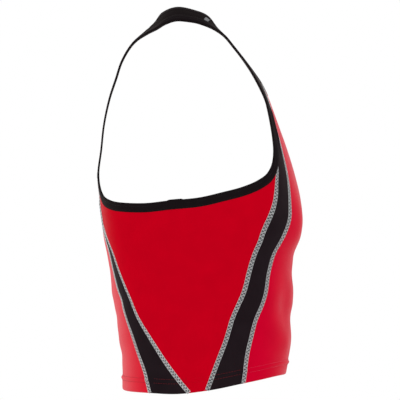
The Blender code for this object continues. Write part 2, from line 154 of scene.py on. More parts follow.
def shoulderRadius(turn, across):
    # the radius falls away as the cube of the distance from the centre line
    radius, drop = (smooth(turn, shoulders["turn"], shoulders[name]) for name in ("radius", "drop"))
    return radius - drop * (np.abs(across) / dropReach) ** 3


def shoulderTurn(points):
    # degrees about the shoulder line: 0 is the chest, 90 the top and 180 the back
    rise, reach = points[:, 2] - shoulderHeight, shoulderDepth - points[:, 1]
    return (np.degrees(np.arctan2(rise, reach)) + 90) % 360 - 90


def aboutShoulder(turn, across):
    # points on the shoulders: the radius laid out at its turn about the shoulder line
    radius = shoulderRadius(turn, across)
    depth = shoulderDepth - radius * np.cos(np.radians(turn))
    height = shoulderHeight + radius * np.sin(np.radians(turn))
    return np.stack((across + 0 * depth, depth, height), axis=1)


def shoulderShare(height):
    # 0 on the torso and 1 on the shoulders, in a straight line between
    return np.clip((height - shoulderHeight) / formBlend + 0.5, 0, 1)


def onForm(points):
    # points laid on the form: level and straight out from the body's middle on the torso, straight
    # out from the shoulder line on the shoulders, and in between the two by share
    across, depth, height = points.T
    middle, stretch = torsoSection(height)[1], torsoStretch(points)
    onTorso = np.stack((across / stretch, middle + (depth - middle) / stretch, height), axis=1)
    onShoulders = aboutShoulder(shoulderTurn(points), across)
    share = shoulderShare(height)[:, None]
    return onTorso * (1 - share) + onShoulders * share


def outside(points):
    # how far points stand out of the form, near enough
    across, depth, height = points.T
    offTorso = (torsoStretch(points) - 1) * torsoSection(height)[2]
    radius = np.hypot(height - shoulderHeight, depth - shoulderDepth)
    offShoulders = radius - shoulderRadius(shoulderTurn(points), across)
    share = shoulderShare(height)
    return offTorso * (1 - share) + offShoulders * share


def outward(points):
    # unit normals: the slope of that distance along each axis
    step = 0.5 * mm
    slopes = [outside(points + step * axis) - outside(points - step * axis) for axis in np.eye(3)]
    normals = np.stack(slopes, axis=1)
    return normals / np.linalg.norm(normals, axis=1, keepdims=True)


def turnOf(points):
    # degrees around the body from centre front, positive on the wearer's left
    return np.degrees(np.arctan2(points[:, 0], torsoSection(points[:, 2])[1] - points[:, 1]))


def around(turn, height):
    # points on the form at these turns and heights: each try starts from the last one's distance out
    turn, height = np.broadcast_arrays(np.radians(turn), height)
    middle, arm = torsoSection(height)[1], seamRadius
    for _ in range(aroundRounds):
        points = onForm(np.stack((arm * np.sin(turn), middle - arm * np.cos(turn), height), axis=1))
        arm = np.hypot(points[:, 0], points[:, 1] - middle)
    return points


def hemHeight(turn):
    # height of the folded edge at a turn
    return smooth(np.abs(turn), hemEdge["turn"], hemEdge["height"])


def beside(line, distance):
    # the line on the form a distance to the cloth's side of a closed edge
    along = np.roll(line, -1, axis=0) - np.roll(line, 1, axis=0)
    away = np.cross(along, outward(line))
    away /= np.linalg.norm(away, axis=1, keepdims=True)
    return onForm(line + away * np.reshape(distance, (-1, 1)))


def seamTurn(seam, height, side=0):
    # turn of a seam at a height, or of the cloth's edge half a gap to one side of it
    shift = math.degrees(panels["gap"] / 2 / seamRadius)
    return smooth(height, seam["height"], seam["turn"]) + side * shift


def seamFoot(seam):
    # height at which a seam meets the hem, by going from one to the other until it holds
    height = hemEdge["height"][0]
    for _ in range(footRounds):
        height = hemHeight(seamTurn(seam, height))
    return height


def crossing(line, seam, start, stop):
    # where an edge first crosses a seam, as a position between its points
    heights = np.clip(line[:, 2], seam["height"][0], seam["height"][-1])
    ahead = turnOf(line) - seamTurn(seam, heights)
    within = heights == line[:, 2]
    crosses = within[:-1] & within[1:] & (ahead[:-1] * ahead[1:] <= 0)
    first = start + int(np.flatnonzero(crosses[start:stop])[0])
    return first + ahead[first] / (ahead[first] - ahead[first + 1])


# Folds and the turned-up hem, as heights above the form.

folds = inMetres({  # soft ridges and troughs, as listed; a negative turn is on the wearer's right
    "height": (-236, -239, -324, -328, -376, -374, -262, -283, -333, -384, -298, -306, -350, -360, -330,
               -377, -292, -318, -345, -372, -300, -326, -356, -388, -236, -228),
    "turn": (-27, 27.5, -57, -33, -50, -28, -14, -6, -4, -40, 44, 20, 46, 28, 8, 41,
             168, -172, 176, -160, 155, -150, 148, -178, -70, 74),
    "rise": (3.2, 3.0, 2.0, -3.4, -0.8, 0.8, -0.4, 0.5, 0.5, -0.4, 1.0, -1.3, -0.6, 0.7, 0.4, 0.4,
             -0.9, 0.8, -0.9, 0.7, 1.0, -1.0, 0.9, -0.9, -0.5, -0.5),
    "tall": (30, 29, 27, 26, 10, 11, 9, 8, 8, 8, 24, 26, 13, 10, 9, 7,
             9, 8, 7, 9, 7, 8, 9, 8, 14, 13),
    "span": (11, 11, 11, 12, 9, 8, 22, 24, 16, 16, 10, 13, 9, 9, 18, 15,
             22, 20, 24, 18, 14, 15, 16, 20, 24, 22),
    "lean": (0, 0, 0.3, 0.4, 0.1, 0.1, 0.05, 0.02, 0.15, 0.12, -0.4, -0.5, -0.1, -0.1, -0.05, -0.14,
             0.04, -0.05, 0.03, -0.12, 0.1, -0.1, 0.12, 0.02, 0.2, -0.2),  # mm down for each degree
})
hemProfile = inMetres({  # how the turned-up hem stands out, by distance above the folded edge, in mm
    "above": (-2, 0, 0.8, 2, 5, 9.5, 10.8, 11.6, 12.4, 14.1, 15.7, 16.5, 17.4, 20, 30),
    "rise": (-0.9, -0.75, 0.05, 0.32, 0.38, 0.4, 0.36, 0.1, 0.42, 0.62, 0.42, 0.02, 0.02, 0, 0),
})
hemRidge = {"above": 13.4 * mm, "tall": 1.8 * mm, "rise": 1.1 * mm,  # the hem stands up at front
            "fade": 4}  # and back, less and less towards the sides
frontRoll = inMetres({  # the inset stands up just past the front seam, on the upper chest
    "height": (-165, -140, -114, -99),
    "rise": (0, 1.8, 1.8, 0),
    "past": 2.4, "spread": 1.6,  # degrees from the seam
})
rearRoll = inMetres({  # the cloth stands up at the rear seam, below the armhole
    "height": (-264, -246, -216, -207),
    "rise": (0, 1.2, 1.2, 0),
    "past": 0.7, "spread": 2.2,
})


def relief(points):
    # each fold is a bell across its height and along its turn, each roll a bell beside its seam,
    # and the hem adds its profile and a ridge that fades out towards the sides
    turn, height = turnOf(points), points[:, 2]
    total = np.zeros(len(points))
    for middle, foldTurn, rise, tall, span, lean in zip(*folds.values()):
        away = (turn - foldTurn + 180) % 360 - 180
        total += rise * np.exp(-((height - middle + lean * mm * away) / tall) ** 2 - (away / span) ** 2)
    for seam, roll in ((frontSeam, frontRoll), (rearSeam, rearRoll)):
        level = np.clip(height, seam["height"][0], seam["height"][-1])
        past = np.abs(turn) - seamTurn(seam, level) - roll["past"]
        total += np.interp(height, roll["height"], roll["rise"]) * np.exp(-(past / roll["spread"]) ** 2)
    above = np.clip(height - hemHeight(turn), hemProfile["above"][0], hemProfile["above"][-1])
    ridge = (np.exp(-((above - hemRidge["above"]) / hemRidge["tall"]) ** 2)
             * np.cos(np.radians(turn)) ** hemRidge["fade"])
    return total + smooth(above, hemProfile["above"], hemProfile["rise"]) + hemRidge["rise"] * ridge


def dressed(points):
    # the cloth's outer face: the form with its folds, and the form's normals there
    points = onForm(points)
    normals = outward(points)
    return points + normals * relief(points)[:, None], normals


# Meshes.

def gridFaces(rows, columns, closeRows=False, closeColumns=False):
    # quads between neighbouring points of a grid numbered row by row
    row, column = np.meshgrid(np.arange(rows if closeRows else rows - 1),
                              np.arange(columns if closeColumns else columns - 1), indexing="ij")
    right, above = (column + 1) % columns, (row + 1) % rows
    corners = (row * columns + column, row * columns + right,
               above * columns + right, above * columns + column)
    return np.stack(corners, axis=-1).reshape(-1, 4)


def makePiece(name, parts, materials, wall=0.0):
    # one object from parts, each with points, faces, ends, a map in metres and a material's number
    points, faces, mapped, numbers, first = [], [], [], [], 0
    for part in parts:
        points.append(part["points"])
        mapped.append(part["map"])
        rings = [(ring + first).tolist() for ring in part.get("ends", ())]
        faces += (part["faces"] + first).tolist() + rings
        numbers += [part.get("material", 0)] * (len(part["faces"]) + len(rings))
        first += len(part["points"])
    mesh = bpy.data.meshes.new(name)
    mesh.from_pydata(np.concatenate(points).tolist(), [], faces)
    mesh.polygons.foreach_set("material_index", numbers)
    corners = np.zeros(len(mesh.loops), int)
    mesh.loops.foreach_get("vertex_index", corners)
    mesh.uv_layers.new(name="Metres").data.foreach_set("uv", np.concatenate(mapped)[corners].ravel())
    mesh.shade_smooth()
    for material in materials:
        mesh.materials.append(material)
    piece = bpy.data.objects.new(name, mesh)
    scene.collection.objects.link(piece)
    if wall:
        shell = piece.modifiers.new("Cloth", "SOLIDIFY")
        shell.thickness = wall
        shell.offset = -1
    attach(piece, "root")
    return piece


def gridSize(grid):
    # worn width, length and area of a grid of points: its longest row and column, and half the
    # cross products of its cells' diagonals
    across = np.linalg.norm(np.diff(grid, axis=1), axis=2)
    down = np.linalg.norm(np.diff(grid, axis=0), axis=2)
    area = np.cross(grid[1:, 1:] - grid[:-1, :-1], grid[1:, :-1] - grid[:-1, 1:])
    return across.sum(axis=1).max(), down.sum(axis=0).max(), np.linalg.norm(area, axis=2).sum() / 2


def clothPart(grid):
    # a grid of the outer face, rows upwards, mapped by distances across and up its middle column
    rows, columns = grid.shape[:2]
    points, normals = dressed(grid.reshape(-1, 3))
    faces = gridFaces(rows, columns)
    a, b, c, d = (points[faces[:, k]] for k in range(4))
    facing = (np.cross(c - a, d - b) * normals[faces[:, 0]]).sum(axis=1)
    if facing.sum() < 0:
        faces, facing = faces[:, ::-1], -facing
    faces = faces[facing > 0]  # a few fold over in the sharp corner, under the binding
    middle = columns // 2
    across = np.cumsum(np.linalg.norm(np.diff(grid, axis=1), axis=2), axis=1)
    across = np.concatenate((np.zeros((rows, 1)), across), axis=1)
    up = distances(grid[:, middle])[:, None]
    mapped = np.stack(np.broadcast_arrays(across - across[:, middle:middle + 1], up), axis=-1)
    return {"points": points, "faces": faces, "map": mapped.reshape(-1, 2)}


def closedPart(grid, closeRows=False):
    # a closed profile carried along a path: rows run along it and columns round the profile;
    # its signed volume tells whether its faces point inwards
    rows, columns = grid.shape[:2]
    points, faces = grid.reshape(-1, 3), gridFaces(rows, columns, closeRows, True)
    a, b, c = (points[faces[:, k]] for k in range(3))
    ring = np.arange(columns)[::-1]
    if (a * np.cross(b, c)).sum() < 0:
        faces, ring = faces[:, ::-1], ring[::-1]
    ends = () if closeRows else (ring, ring[::-1] + (rows - 1) * columns)
    mapped = np.stack(np.broadcast_arrays(distances(grid[:, 0])[:, None], distances(grid[0])), axis=-1)
    return {"points": points, "faces": faces, "ends": ends, "map": mapped.reshape(-1, 2)}


def threadPart(paths, normals, radii, sides, material=0):
    # round threads, one for each row of points: circles set square to the path, ends closed
    count, steps = paths.shape[:2]
    along = np.gradient(paths, axis=1)
    along /= np.linalg.norm(along, axis=2, keepdims=True)
    across = np.cross(along, normals)
    across /= np.linalg.norm(across, axis=2, keepdims=True)
    over = np.cross(across, along)
    angle = np.arange(sides) * 2 * np.pi / sides
    circle = np.cos(angle)[:, None] * over[:, :, None] + np.sin(angle)[:, None] * across[:, :, None]
    points = paths[:, :, None] + circle * np.reshape(radii, (1, -1, 1, 1))
    starts = (np.arange(count) * steps * sides)[:, None]
    faces = starts[:, :, None] + gridFaces(steps, sides, closeColumns=True)
    ring = np.arange(sides)
    ends = list(starts + ring[::-1]) + list(starts + (steps - 1) * sides + ring)
    mapped = np.stack(np.broadcast_arrays(np.arange(1, steps + 1)[:, None] * mm, angle * mm), axis=-1)
    return {"points": points.reshape(-1, 3), "faces": faces.reshape(-1, 4), "ends": ends,
            "map": np.tile(mapped.reshape(-1, 2), (count, 1)), "material": material}


def evenLine(line, step):
    # the line again with points an even step apart
    along = distances(line)
    count = max(2, int(round(along[-1] / step)) + 1)
    return pointsAt(line, along, np.linspace(0, along[-1], count))


def flipped(points):
    # the mirror image on the body's other side
    return points * (-1, 1, 1)


# Materials.

def linear(hexColour):
    # an sRGB hex colour as linear red, green, blue and alpha, by the sRGB curve
    channels = [int(hexColour[k:k + 2], 16) / 255 for k in (1, 3, 5)]
    return tuple(c / 12.92 if c <= 0.04045 else ((c + 0.055) / 1.055) ** 2.4 for c in channels) + (1.0,)


def addNode(tree, kind, sockets=(), **settings):
    # a node with its settings, its inputs filled with values or linked to other nodes' outputs
    node = tree.nodes.new(kind)
    for name, value in settings.items():
        setattr(node, name, value)
    for name, value in dict(sockets).items():
        if isinstance(value, bpy.types.NodeSocket):
            tree.links.new(value, node.inputs[name])
        else:
            node.inputs[name].default_value = value
    return node


def newMaterial(name, look):
    # a shader with the look's gloss and sheen, and the place that its patterns start from
    material = bpy.data.materials.new(name)
    material.use_nodes = True
    tree = material.node_tree
    shader = tree.nodes["Principled BSDF"]
    finish = {"Metallic": 0.0, "IOR": 1.5,
              "Roughness": look["roughness"], "Specular IOR Level": look["specular"],
              "Sheen Weight": look.get("sheen", 0.0), "Sheen Roughness": look.get("sheenRoughness", 0.4),
              "Sheen Tint": linear(look.get("sheenTint", "#FFFFFF"))}
    for socket, value in finish.items():
        shader.inputs[socket].default_value = value
    return material, tree, shader, addNode(tree, "ShaderNodeTexCoord")


def mottled(tree, shader, look, place, scale, detail=2.0, contrast=0.15):
    # colour that drifts between the look's two shades as a noise goes from the contrast below its
    # middle to the contrast above it
    noise = addNode(tree, "ShaderNodeTexNoise", {"Vector": place, "Scale": scale, "Detail": detail})
    tone = addNode(tree, "ShaderNodeMapRange",
                   {"Value": noise.outputs["Fac"], "From Min": 0.5 - contrast, "From Max": 0.5 + contrast})
    colour = addNode(tree, "ShaderNodeMix", {0: tone.outputs[0], 6: linear(look["dark"]),
                                             7: linear(look["colour"])}, data_type="RGBA")
    tree.links.new(colour.outputs[2], shader.inputs["Base Color"])
    return noise.outputs["Fac"]


def knitMaterial(name, look):
    # Polyester and elastane jersey, warp knitted from bright fine yarn: smooth and taut, with
    # hair-fine ribs up the cloth and a soft bloom of light where it turns away. Each rib is a ridge
    # with loops slanting away on both its sides.
    material, tree, shader, place = newMaterial(name, look)
    flat = addNode(tree, "ShaderNodeSeparateXYZ", {0: place.outputs["UV"]})
    fold = addNode(tree, "ShaderNodeMath", {0: flat.outputs["X"], 1: look["rib"] / 2}, operation="PINGPONG")
    slant = addNode(tree, "ShaderNodeMath", {0: fold.outputs[0], 1: look["slant"], 2: flat.outputs["Y"]},
                    operation="MULTIPLY_ADD")
    turns = addNode(tree, "ShaderNodeMath", {0: slant.outputs[0], 1: 2 * math.pi / look["course"]},
                    operation="MULTIPLY")
    loop = addNode(tree, "ShaderNodeMath", {0: turns.outputs[0]}, operation="SINE")
    ribs = addNode(tree, "ShaderNodeMath", {0: fold.outputs[0], 1: 4 / look["rib"]}, operation="MULTIPLY")
    height = addNode(tree, "ShaderNodeMath", {0: loop.outputs[0], 1: look["loop"], 2: ribs.outputs[0]},
                     operation="MULTIPLY_ADD")
    bump = addNode(tree, "ShaderNodeBump",
                   {"Height": height.outputs[0], "Strength": look["bump"], "Distance": look["depth"]})
    tree.links.new(bump.outputs[0], shader.inputs["Normal"])
    mottled(tree, shader, look, place.outputs["Object"], 1 / look["mottle"], detail=3.0, contrast=0.2)
    return material


def threadMaterial(name, look):
    # Textured polyester sewing thread: dull and soft, with short paler stretches as it twists.
    material, tree, shader, place = newMaterial(name, look)
    mottled(tree, shader, look, place.outputs["Object"], 1 / look["speckle"])
    return material


def filmMaterial(name, look):
    # Thin polyurethane film sealed on with heat: even and a little satin, with a faint pebble where
    # it has taken the print of the knit under it.
    material, tree, shader, place = newMaterial(name, look)
    noise = mottled(tree, shader, look, place.outputs["Object"], 1 / look["pebble"])
    bump = addNode(tree, "ShaderNodeBump",
                   {"Height": noise, "Strength": look["bump"], "Distance": look["depth"]})
    tree.links.new(bump.outputs[0], shader.inputs["Normal"])
    return material


knitLook = {"roughness": 0.6, "specular": 0.0, "sheenRoughness": 0.3,
            "rib": 0.9 * mm, "course": 0.8 * mm,  # real ribs are 0.35 mm apart, drawn coarser to show
            "slant": 1.1, "loop": 0.35,  # slope and height of the loops beside a rib
            "depth": 0.06 * mm, "bump": 0.25}
redLook = {**knitLook, "colour": "#C8001B", "dark": "#C2001A", "mottle": 22 * mm,
           "sheen": 0.45, "sheenRoughness": 0.22, "sheenTint": "#FFD0D2"}
frontRedPaintedLightLook = {**redLook, "colour": "#D1002B", "dark": "#CB0029", "sheen": 0.44, "sheenRoughness": 0.3,
                "sheenTint": "#FFD8DA"}  # the same jersey painted lighter, with more sheen, at front and back: painted light where those panels catch more light
# the back is painted lighter still: painted light for the stronger light behind
backRedPaintedLightLook = {**frontRedPaintedLightLook, "colour": "#DE0028", "dark": "#D80026", "sheen": 0.45,
               "sheenRoughness": 0.42}
blackLook = {**knitLook, "colour": "#231B1F", "dark": "#1F171B", "mottle": 18 * mm,
             "sheen": 0.2, "sheenTint": "#FFF4EE"}
# the yoke is the black jersey painted darker, with less sheen: painted shade on the strap tops, which catch
# more light from above
yokePaintedShadeLook = {**blackLook, "colour": "#1A1516", "dark": "#171314", "sheen": 0.05}
bindingLook = {**blackLook, "colour": "#1B1618", "dark": "#181315", "mottle": 12 * mm, "sheen": 0.1,
               "roughness": 0.55, "rib": 0.8 * mm, "course": 0.9 * mm, "bump": 0.3}
threadLook = {"roughness": 0.6, "specular": 0.15, "speckle": 2 * mm}
greyThreadLook = {**threadLook, "colour": "#C8CACA", "dark": "#B0B2B4", "roughness": 0.7, "sheen": 0.1,
                  "speckle": 1.6 * mm}
greyGroundLook = {**threadLook, "colour": "#5A5A5E", "dark": "#48484C", "roughness": 0.8,
                  "speckle": 1.2 * mm}
backPaintedLightThreadLook = {**greyThreadLook, "colour": "#DADCDC", "dark": "#C4C6C6"}  # the same thread painted lighter: painted light, as the back seams stand in more light
# the same underthread painted lighter: painted light for the back seams
backPaintedLightGroundLook = {**greyGroundLook, "colour": "#626266", "dark": "#505054"}
redThreadLook = {**threadLook, "colour": "#C8001B", "dark": "#BC001A"}
# the red thread painted lighter and pinker, with sheen: a painted highlight where the front stitches catch
# the light
paintedHighlightThreadLook = {**threadLook, "colour": "#E0305A", "dark": "#D02048", "sheen": 0.2}
dullThreadLook = {**threadLook, "colour": "#8A1420", "dark": "#70101A"}
blackThreadLook = {**threadLook, "colour": "#1B1819", "dark": "#141213", "sheen": 0.1}
filmLook = {"colour": "#6D6D6F", "dark": "#676769", "roughness": 0.5, "specular": 0.2,
            "pebble": 0.9 * mm, "depth": 0.04 * mm, "bump": 0.2}

redKnit = knitMaterial("Red stretch jersey", redLook)
# the front and back jerseys are the red jersey painted lighter: painted light
frontRedPaintedLightKnit = knitMaterial("Red stretch jersey, front, painted lighter", frontRedPaintedLightLook)
backRedPaintedLightKnit = knitMaterial("Red stretch jersey, back, painted lighter", backRedPaintedLightLook)
blackKnit = knitMaterial("Black stretch jersey", blackLook)
# the yoke jersey, with its painted shade
yokePaintedShadeKnit = knitMaterial("Black stretch jersey, yoke, painted darker", yokePaintedShadeLook)
blackBinding = knitMaterial("Black folded binding", bindingLook)
greyThread = threadMaterial("Grey flatlock thread", greyThreadLook)
greyGround = threadMaterial("Grey flatlock underthread", greyGroundLook)
# the back seams' threads, painted lighter: painted light
backPaintedLightThread = threadMaterial("Grey flatlock thread, back, painted lighter", backPaintedLightThreadLook)
backPaintedLightGround = threadMaterial("Grey flatlock underthread, back, painted lighter", backPaintedLightGroundLook)
redThread = threadMaterial("Red hem thread", redThreadLook)
paintedHighlightThread = threadMaterial("Red hem thread, painted highlight", paintedHighlightThreadLook)
dullThread = threadMaterial("Dull red hem thread", dullThreadLook)
blackThread = threadMaterial("Black binding thread", blackThreadLook)
patchFilm = filmMaterial("Grey heat-sealed film", filmLook)
print("materials ready")


# Bindings: a folded band round each armhole and the neck.

binding = {
    "width": 10.6 * mm,
    "across": (10.6, 10.45, 10.0, 9.4, 8.8, 8.2, 7.0, 5.6, 4.4, 3.8, 3.2, 2.1, 1.1, 0.4, 0.0,
               0.2, 0.8, 1.8, 4.0, 7.5, 9.0),  # from the edge into the cloth, round the fold
    "rise": (-0.1, 0.26, 0.40, 0.42, 0.28, 0.42, 0.46, 0.46, 0.42, 0.28, 0.42, 0.42, 0.34, 0.1, -0.4,
             -0.85, -1.15, -1.28, -1.32, -1.3, -1.05),
    "lapFrom": -2.5 * mm, "lapTo": 15 * mm,  # where the armhole band laps over its own start
    "lapBelow": -180 * mm, "lapSoft": 1.2 * mm,
    "lapRise": 0.3 * mm, "lapOut": 0.8 * mm,  # how far the upper layer stands up and out
    "lapFade": 6.0, "lapFace": -0.3,  # mm across at which it lies flush, and mm deep where its face ends
    "flatWidth": 10.8 * mm, "ease": 0.95,  # the band laid flat, and cut length over worn length
    "samples": 620,
    "stitchAcross": (8.8, 3.8), "stitchRise": 0.3 * mm,
    "stitch": 2.3 * mm, "gap": 0.9 * mm, "thread": 0.13 * mm,
}
stitchForm = {  # one stitch: shares of its length, and rise and radius there over the thread's radius
    "share": (0.0, 0.18, 0.5, 0.82, 1.0),
    "rise": (-1.6, 0.2, 0.7, 0.2, -1.6),
    "radius": (0.5, 1, 1, 1, 0.5),
    "start": 0.1, "sides": 6,
}


def bandGrid(edge, look, lap=0.0):
    # the binding's profile set square on every sample of the edge
    columns = []
    for across, rise in zip(look["across"], look["rise"]):
        out = look["lapOut"] * lap * max(0.0, 1 - across / look["lapFade"])
        line = beside(edge, across * mm - out)
        height = rise * mm + look["lapRise"] * lap * (rise > look["lapFace"])
        columns.append(line + outward(line) * np.reshape(height, (-1, 1)))
    return np.stack(columns, axis=1)


def stitchRow(line, normals, look, rise, material):
    # short threads laid end to end, each sinking into the cloth at its ends
    along = distances(line)
    count = int(along[-1] / (look["stitch"] + look["gap"]))
    at = (np.arange(count)[:, None] + stitchForm["start"]) * along[-1] / count
    at = at + np.array(stitchForm["share"]) * look["stitch"]
    spots, up = pointsAt(line, along, at), pointsAt(normals, along, at)
    height = np.array(stitchForm["rise"]) * look["thread"] + rise
    radii = look["thread"] * np.array(stitchForm["radius"])
    return threadPart(spots + up * height[:, None], up, radii, stitchForm["sides"], material)


def addBinding(name, edge, lap=0.0):
    # the band, with a row of stitches along each of its grooves
    parts = [closedPart(bandGrid(edge, binding, lap), closeRows=True)]
    for across in binding["stitchAcross"]:
        line = beside(edge, across * mm)
        line = np.concatenate((line, line[:1]))
        parts.append(stitchRow(line, outward(line), binding, binding["stitchRise"], 1))
    piece = makePiece(name + "_tape", parts, (blackBinding, blackThread))
    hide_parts(name)


armPoints = np.stack([armEdge[name] for name in ("halfWidth", "depth", "height")], axis=1)
neckPoints = aboutShoulder(neckEdge["turn"], neckEdge["halfWidth"])
neckPoints = np.concatenate((neckPoints, flipped(neckPoints[1:-1][::-1])))
armLine = ringThrough(armPoints, binding["samples"])
lap = (np.clip((armLine[:, 1] - binding["lapFrom"]) / binding["lapSoft"], 0, 1)
       * np.clip((binding["lapTo"] - armLine[:, 1]) / binding["lapSoft"], 0, 1)
       * (armLine[:, 2] < binding["lapBelow"]))
addBinding("armhole_binding_left", armLine, lap)
addBinding("armhole_binding_right", flipped(armLine)[::-1], lap[::-1])
addBinding("neck_binding", ringThrough(neckPoints, binding["samples"]))
print("bindings ready")


# Knit panels between the seams, each a smooth patch of the form.

panels = {
    "wall": 1.0 * mm, "gap": 0.12 * mm,
    "tuck": 4.1 * mm,  # how far a panel runs in under a binding
    "strapJoin": 34.0, "apex": -245 * mm,  # the strap's seam by turn, and the back inset's top
    "acrossEase": 0.9, "downEase": 0.97,  # cut size over worn size: the knit is stretched when worn
    "lowCrowd": 1.35,  # above 1 the rows lie closer together at the hem
    "armCount": 1440, "neckCount": 1200,  # points in the lines that panels and seams start from
    "seamCount": 240, "armholeCount": 400, "hemCount": 120, "joinCount": 60, "backCount": 160,
    "weld": 0.02 * mm,
}


def stretchOf(line, start, stop, count=panels["seamCount"]):
    # the stretch of a line between two positions among its points
    return pointsAt(line, np.arange(len(line)), np.linspace(start, stop, count))


def pointOn(line, at):
    # the one point of a line at a position among its points
    return stretchOf(line, at, at, 1)[0]


def spaced(line, share):
    # points of a line at shares of its length
    along = distances(line)
    return pointsAt(line, along, share * along[-1])


def onward(line, after):
    # a line that goes on as another, whose first point is left out
    return np.concatenate((line, after[1:]))


def straight(start, stop):
    # the straight line between two points, laid on the form
    share = np.linspace(0, 1, panels["joinCount"])[:, None]
    return onForm(start * (1 - share) + stop * share)


def seamLine(seam, high, side=0, low=None):
    # a seam, or the cloth's edge to one side of it, up from its foot or from another height
    heights = np.linspace(seamFoot(seam) if low is None else low, high, panels["seamCount"])
    return around(seamTurn(seam, heights, side), heights)


def hemLine(start, stop):
    # the folded edge between two turns
    turns = np.linspace(start, stop, panels["hemCount"])
    return around(turns, hemHeight(turns))


def turnAt(point):
    # turn of a single point
    return turnOf(point[None])[0]


def hemBetween(left, right):
    # the folded edge between the feet of two lines
    return hemLine(turnAt(left[0]), turnAt(right[0]))


def spans(look, crowd=panels["lowCrowd"]):
    # shares across, and shares up whose power crowds the rows towards the hem
    return np.linspace(0, 1, look["columns"] + 1), np.linspace(0, 1, look["rows"] + 1) ** crowd


def patch(bottom, top, left, right, shares, settle=None):
    # Coons patch: the blend of the two pairs of edges less the blend of the corners, on the form;
    # where edges meet at a slant the top's points crowd to its ends and the inner points settle
    u, v = shares
    bottom, top = spaced(bottom, u)[None], spaced(top, u * u * (3 - 2 * u) if settle else u)[None]
    left, right = spaced(left, v)[:, None], spaced(right, v)[:, None]
    u, v = u[None, :, None], v[:, None, None]
    corners = ((1 - u) * (1 - v) * bottom[:, :1] + u * (1 - v) * bottom[:, -1:]
               + (1 - u) * v * top[:, :1] + u * v * top[:, -1:])
    grid = (1 - v) * bottom + v * top + (1 - u) * left + u * right - corners
    if settle:
        settled(grid, v[1:-1], settle)
    return onForm(grid.reshape(-1, 3)).reshape(grid.shape)


def settled(grid, v, look):
    # inner points go to the mean of their four neighbours again and again, apart from those at hem
    # and top, and then the last rows spread evenly up to the top edge
    free = np.clip(v / look["hemHold"] - 1, 0, 1) * np.clip((1 - v) / look["topHold"], 0, 1)
    for _ in range(look["rounds"]):
        mean = (grid[:-2, 1:-1] + grid[2:, 1:-1] + grid[1:-1, :-2] + grid[1:-1, 2:]) / 4
        grid[1:-1, 1:-1] += (mean - grid[1:-1, 1:-1]) * free
    last = look["topRows"]
    share = (np.arange(1, last) / last)[:, None, None]
    grid[-last:-1, 1:-1] = grid[-last - 1, 1:-1] * (1 - share) + grid[-1, 1:-1] * share


def bothHalves(half):
    # a half grid from the centre line out, with its mirror image before it
    half = half.copy()
    half[:, 0, 0] = 0
    return np.concatenate((flipped(half)[:, :0:-1], half), axis=1)


def joined(one, other):
    # two parts as one, with the points that coincide made one
    points, mapped = (np.concatenate((one[name], other[name])) for name in ("points", "map"))
    faces = np.concatenate((one["faces"], other["faces"] + len(one["points"])))
    kept, where = np.unique(np.round(points / panels["weld"]), axis=0,
                            return_index=True, return_inverse=True)[1:]
    return {"points": points[kept], "faces": where.reshape(-1)[faces], "map": mapped[kept]}


def addPanel(name, grid, material, mirrored=False):
    # a panel as one sheet, cut smaller than it is worn; a mirrored one joins its two halves
    width, length, area = gridSize(grid)
    part = clothPart(grid)
    if mirrored:
        part = joined(part, clothPart(flipped(grid)[:, ::-1]))
        width, area = width * 2, area * 2
    piece = makePiece(name + "_cloth", [part], (material,), panels["wall"])
    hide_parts(name)
    width, length = width * panels["acrossEase"], length * panels["downEase"]
    area = area * panels["acrossEase"] * panels["downEase"]
    print(name, "cut %.0f x %.0f mm, %.4f m2" % (width / mm, length / mm, area))


def addPair(name, grid, material):
    # the same panel on both sides of the body
    addPanel(name + "_left", grid, material)
    addPanel(name + "_right", flipped(grid)[:, ::-1], material)


armCount, neckCount = panels["armCount"], panels["neckCount"]
armRing, neckRing = ringThrough(armPoints, armCount), ringThrough(neckPoints, neckCount)
armBorder, neckBorder = (beside(ring, binding["width"] - panels["tuck"]) for ring in (armRing, neckRing))
armBorder = np.concatenate((armBorder, armBorder[:1]))
# where seams end on the borders, each looked for within a share of the way round
armFront = crossing(armBorder, frontSideSeam, armCount // 8, armCount // 2)
armBack = crossing(armBorder, rearSeam, armCount // 2, armCount)
neckCorner = crossing(neckBorder, frontSeam, 1, neckCount // 2)
armTurns, neckTurns = shoulderTurn(armBorder[:armCount // 3]), shoulderTurn(neckBorder[:neckCount // 2])
armJoin = np.interp(-panels["strapJoin"], -armTurns, np.arange(len(armTurns)))
neckJoin = np.interp(panels["strapJoin"], neckTurns, np.arange(len(neckTurns)))
armHeight, yokeHeight = pointOn(armBorder, armFront)[2], pointOn(armBorder, armBack)[2]
neckHeight = pointOn(neckBorder, neckCorner)[2]
middleFront = {"height": frontSeam["height"], "turn": frontSeam["turn"] * 0}  # centre lines, as seams
middleBack = {"height": rearSeam["height"], "turn": rearSeam["turn"] * 0 + 180}

frontCentre = {"columns": 52, "rows": 210}


def frontCentreGrid():
    # half of it lies between the middle and the front seam, under the neckline
    top = stretchOf(neckBorder, 0, neckCorner)
    middle = seamLine(middleFront, top[0, 2], low=hemEdge["height"][0])
    seam = seamLine(frontSeam, neckHeight, -1)
    return bothHalves(patch(hemLine(0, turnAt(seam[0])), top, middle, seam, spans(frontCentre)))


frontInset = {"columns": 26, "rows": 250}


def frontInsetGrid():
    # it goes up between two seams, and on between neck and armhole as the front of the strap
    left = onward(seamLine(frontSeam, neckHeight, 1), stretchOf(neckBorder, neckCorner, neckJoin))
    right = onward(seamLine(frontSideSeam, armHeight, -1), stretchOf(armBorder, armJoin, armFront)[::-1])
    top = straight(left[-1], right[-1])
    return patch(hemBetween(left, right), top, left, right, spans(frontInset))


sidePanel = {"columns": 120, "rows": 150,
             "settle": {"rounds": 1000, "hemHold": 0.1, "topHold": 0.04, "topRows": 9}}


